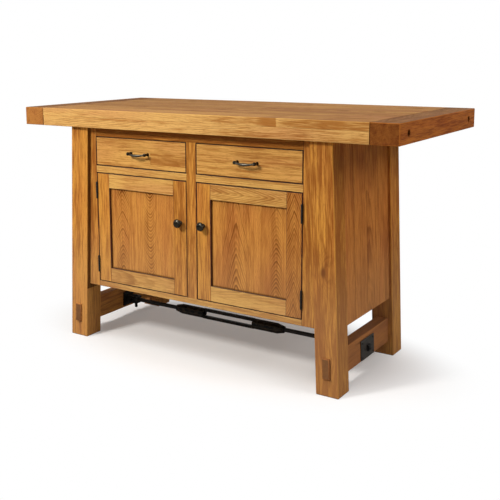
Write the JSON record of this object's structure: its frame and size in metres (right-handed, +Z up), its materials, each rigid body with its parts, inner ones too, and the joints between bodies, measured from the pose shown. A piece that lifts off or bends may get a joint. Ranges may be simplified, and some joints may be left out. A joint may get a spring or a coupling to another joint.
{
  "type": "kitchen island",
  "caption": "Wooden kitchen island: breadboard worktop on splayed legs, framed cupboard with drawers and panelled doors, and an iron turnbuckle tie rod.",
  "frame": {"origin": "on the floor, under the middle of the worktop", "axes": "+X to the right along the worktop, +Y to the rear, +Z up; the doors face -Y"},
  "size_m": [1.567, 0.734, 0.914],
  "materials": {
    "worktop_wood": "satin lacquer",
    "end_wood": "satin lacquer",
    "frame_wood": "satin lacquer",
    "panel_wood": "satin lacquer",
    "inside_wood": "matt",
    "black_iron": "satin black",
    "pewter": "dark pewter",
    "zinc_steel": "zinc plated"
  },
  "bodies": {
    "root": {"top_boards": "worktop_wood", "top_edge_front": "worktop_wood", "top_edge_rear": "worktop_wood", "top_batten_left": "inside_wood", "top_batten_right": "inside_wood", "breadboard_left": "end_wood", "breadboard_right": "end_wood", "bolts_and_nuts": "black_iron", "leg_front_left": "frame_wood", "leg_front_right": "frame_wood", "leg_rear_left": "frame_wood", "leg_rear_right": "frame_wood", "side_stretcher_left": "frame_wood", "side_stretcher_right": "frame_wood", "side_boards_left": "panel_wood", "side_boards_right": "panel_wood", "face_stile_left": "frame_wood", "face_stile_right": "frame_wood", "face_mullion": "frame_wood", "face_top_rail": "frame_wood", "face_middle_rails": "frame_wood", "face_bottom_rail": "frame_wood", "back_frame": "frame_wood", "back_panels": "panel_wood", "case_side_left": "inside_wood", "case_side_right": "inside_wood", "case_floor": "inside_wood", "centre_partition": "inside_wood", "slide_spacers": "inside_wood", "shelves": "inside_wood", "shelf_pegs": "zinc_steel", "slide_rails": "zinc_steel", "door_catches": "pewter", "hinge_frame_leaves": "black_iron", "hinge_pins": "black_iron", "stretcher_plates": "black_iron", "plate_nails": "black_iron", "tie_anchor_left": "black_iron", "tie_anchor_right": "black_iron", "tie_rod_left": "black_iron", "tie_rod_right": "black_iron"},
    "turnbuckle": {"turnbuckle_body": "black_iron"},
    "drawer_left": {"drawer_left_front": "frame_wood", "drawer_left_box": "inside_wood", "drawer_left_pull": "pewter", "drawer_left_runners": "zinc_steel"},
    "slides_left": {"slide_middles_left": "zinc_steel"},
    "door_left": {"door_left_frame": "frame_wood", "door_left_panel": "panel_wood", "door_left_knob": "pewter", "door_left_hinge_leaves": "black_iron"},
    "drawer_right": {"drawer_right_front": "frame_wood", "drawer_right_box": "inside_wood", "drawer_right_pull": "pewter", "drawer_right_runners": "zinc_steel"},
    "slides_right": {"slide_middles_right": "zinc_steel"},
    "door_right": {"door_right_frame": "frame_wood", "door_right_panel": "panel_wood", "door_right_knob": "pewter", "door_right_hinge_leaves": "black_iron"}
  },
  "joints": [
    {"name": "turnbuckle_turn", "type": "hinge", "parent": "root", "child": "turnbuckle", "pos_m": [-0.012, -0.07, 0.091], "axis": [1, 0, 0], "continuous": true},
    {"name": "drawer_left_slide", "type": "slide", "parent": "root", "child": "drawer_left", "axis": [0, -1, 0], "range_m": [0, 0.4]},
    {"name": "slides_left_travel", "type": "slide", "parent": "root", "child": "slides_left", "axis": [0, -1, 0], "range_m": [0, 0.2]},
    {"name": "door_left_hinge", "type": "hinge", "parent": "root", "child": "door_left", "pos_m": [-0.44491, -0.33395, 0.45605], "axis": [0, 0, -1], "range_deg": [0, 150]},
    {"name": "drawer_right_slide", "type": "slide", "parent": "root", "child": "drawer_right", "axis": [0, -1, 0], "range_m": [0, 0.4]},
    {"name": "slides_right_travel", "type": "slide", "parent": "root", "child": "slides_right", "axis": [0, -1, 0], "range_m": [0, 0.2]},
    {"name": "door_right_hinge", "type": "hinge", "parent": "root", "child": "door_right", "pos_m": [0.44491, -0.33395, 0.45605], "axis": [0, 0, 1], "range_deg": [0, 150]}
  ],
  "couplings": [
    {"joint": "slides_left_travel", "follows": "drawer_left_slide", "ratio": 0.5},
    {"joint": "slides_right_travel", "follows": "drawer_right_slide", "ratio": 0.5}
  ]
}
